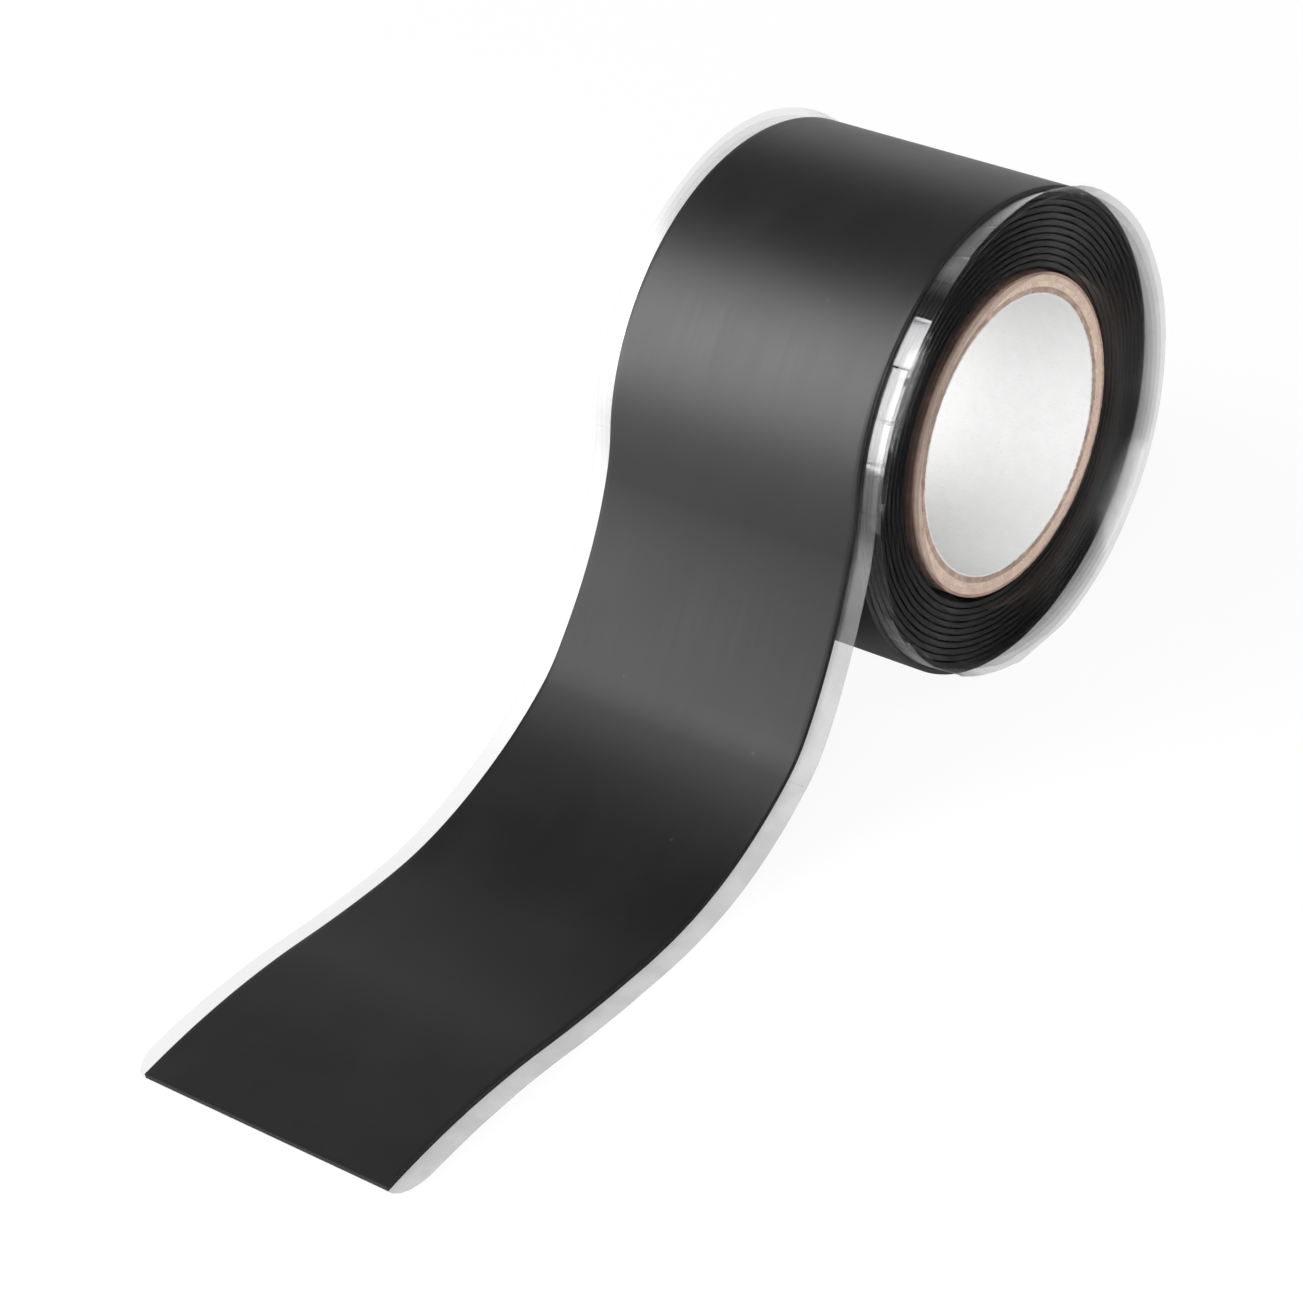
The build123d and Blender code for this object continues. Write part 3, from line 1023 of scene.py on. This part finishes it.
radius = CORE_BORE
for seed, (name, thickness) in enumerate(PLIES):
    half = thickness / 2
    line = poly_curve(name + "_line", circle_points((radius + half) * MM, PLY_STEPS), True)
    corners = [(y * CORE_LENGTH / 2 * MM, across * half * MM, 0) for y, across in PLY_OUTLINE]
    section = poly_curve(name + "_section", corners, True)
    ply = strip_piece(
        name + "_paper", line, section, papers[name],
        Held_Half_Width=CORE_LENGTH / 2 * MM,
        Ragged=RAGGED.get(name, 0.12) * MM,
        Seed=float(seed),
    )
    bpy.data.objects.remove(section)
    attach(ply, "roll")
    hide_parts(name)
    radius += thickness + GLUE_LINE

# %% [markdown]
# The tape has slightly rounded edges, and the film is a thin flat sheet that is wider than
# the tape by a margin on each side. The film needs more points across its margins, because
# only there does it flare and crinkle. The outer turns are seen best, so their rows are
# closer, and they are closest where the last turn is folded. Flare grows towards the
# outside, where nothing presses on the margin.

# %% Tape and film on the roll
TAPE_STATIONS = [0.5, 4, 9]
FILM_STATIONS = [0.25, 0.55, 0.9, 1.25, 1.55, 1.85, 2.3, 6]
TAPE_CORNER = 0.08
tape_section = flat_section(
    "tape_section", TAPE_WIDTH, -TAPE_THICKNESS, 0, TAPE_CORNER, TAPE_STATIONS
)
film_section = flat_section(
    "film_section", FILM_WIDTH, FILM_CLEARANCE, film_inner, 0, FILM_STATIONS
)
HALF_TAPE = TAPE_WIDTH / 2
free_edge = FILM_WIDTH / 2 - HALF_TAPE

OUTER_HALF_TURNS = 5
OUTER_FROM = wound_length - length_of(wound[-OUTER_HALF_TURNS:])
INNER_ROW, OUTER_ROW, FREE_ROW = 0.9, 0.45, 0.4
CREASED_LENGTH, CREASED_ROW = 36.0, 0.10


def begins_at(legs, distances):
    """How far from the start of the roll a piece begins, in metres."""
    return (distances[0] + (wound_length if legs is free else 0)) * MM


def tape_piece(name, legs, distances, twist=0.0):
    """A length of tape. twist is how far its sides swing out of line, in millimetres."""
    line = line_curve(name + "_line", legs, distances)
    made = strip_piece(
        name, line, tape_section, silicone,
        Held_Half_Width=1.0, Twist=twist * MM, Begins_At=begins_at(legs, distances),
    )
    return made


def film_piece(name, legs, distances, flare, crinkle, folds, twist=0.0, ends_at=NEVER_CUT):
    """A length of film, with its flare at its two ends, its waves, folds and twist, and the
    distance in metres at which it is cut off."""
    line = line_curve(name + "_line", legs, distances)
    made = strip_piece(
        name, line, film_section, film_finish,
        Held_Half_Width=HALF_TAPE * MM, Free_Edge=free_edge * MM,
        Flare_At_Start=flare[0] * MM, Flare_At_End=flare[1] * MM,
        Crinkle=crinkle * MM, Folds=folds * MM, Seed=2.0, Twist=twist * MM,
        Begins_At=begins_at(legs, distances), Ends_At=ends_at,
    )
    return made


inner_rows = rows_between(0, OUTER_FROM, INNER_ROW)
outer_rows = rows_between(OUTER_FROM, wound_length, OUTER_ROW)
film_rows = rows_between(FILM_CLEARANCE, OUTER_FROM, INNER_ROW)
creased_from = wound_length - CREASED_LENGTH
creased_rows = rows_between(OUTER_FROM, creased_from, OUTER_ROW)[:-2]
creased_rows += rows_between(creased_from, wound_length, CREASED_ROW)[2:]
tape_inner = tape_piece("tape_inner_turns", wound, inner_rows)
tape_outer = tape_piece("tape_outer_turns", wound, outer_rows)
film_inner_turns = film_piece(
    "film_inner_turns", wound, film_rows, flare=(0.2, 0.7), crinkle=0.01, folds=0.0
)
film_outer_turns = film_piece(
    "film_outer_turns", wound, creased_rows, flare=(0.7, 0.95), crinkle=0.04, folds=0.22
)
for piece in (tape_inner, tape_outer, film_inner_turns, film_outer_turns):
    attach(piece, "roll")
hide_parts("tape_wound")
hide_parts("film_wound")

# %% [markdown]
# The free end bends at three lines, and each piece of it spans one of them. The drop and
# the flat stretch meet on the slope between two bends, where nothing turns. Each piece's
# place is baked into its mesh.

# %% Free end
TWIST = 0.4
FREE_EDGE = {"flare": (0.95, 0.95), "crinkle": 0.02, "folds": 0.02, "twist": TWIST}
BEND_REACH, LIFT_REACH = 9, 6
slope_at = landing_at - drawn[-1][2]
lying_middle = landing_at + BEND_REACH
drop_rows = rows_between(0, slope_at, FREE_ROW)
landing_rows = rows_between(slope_at, lying_middle, FREE_ROW)
end_rows = rows_between(lying_middle, free_length, FREE_ROW)
flat_rows = rows_between(slope_at, free_length, FREE_ROW)


def place_of(distance):
    x, z, _ = point_at(free, distance)
    return (x * MM, 0, z * MM)


tape_hanging = tape_piece("tape_hanging_strip", free, drop_rows, TWIST)
tape_lying = tape_piece("tape_lying_strip", free, landing_rows, TWIST)
tape_end = tape_piece("tape_end_strip", free, end_rows)
film_hanging = film_piece("film_hanging_strip", free, drop_rows, **FREE_EDGE)
film_cut_at = (wound_length + free_length) * MM
film_lying = film_piece("film_lying_strip", free, flat_rows, **FREE_EDGE, ends_at=film_cut_at)
for piece, first, second, at, reach in (
    (tape_hanging, "roll", "hanging_strip", 0, BEND_REACH),
    (film_hanging, "roll", "hanging_strip", 0, BEND_REACH),
    (tape_lying, "hanging_strip", "lying_strip", landing_at, BEND_REACH),
    (film_lying, "hanging_strip", "lying_strip", landing_at, BEND_REACH),
    (tape_end, "lying_strip", "lifting_end", lifting_at, LIFT_REACH),
):
    place_of(at)
    place_of(at + reach)
    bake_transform(piece)
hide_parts("tape_hanging")
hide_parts("tape_lying")
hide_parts("tape_end")
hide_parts("film_hanging")
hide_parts("film_lying")
for helper in (tape_section, film_section):
    bpy.data.objects.remove(helper)

# %% [markdown]
# The adhesive strip under the first turn is hidden in the finished roll. Its solid already
# has the right shape, so the solid stays and only gets its own paper.

# %% Start strip
start_strip = frame["nodes"]["start_strip"]
start_strip.data.materials.clear()
start_strip.data.materials.append(papers["start_strip"])

# %% Sizes
print("CAD box", [round(v / MM, 2) for v in (*cad_low, *cad_high)])
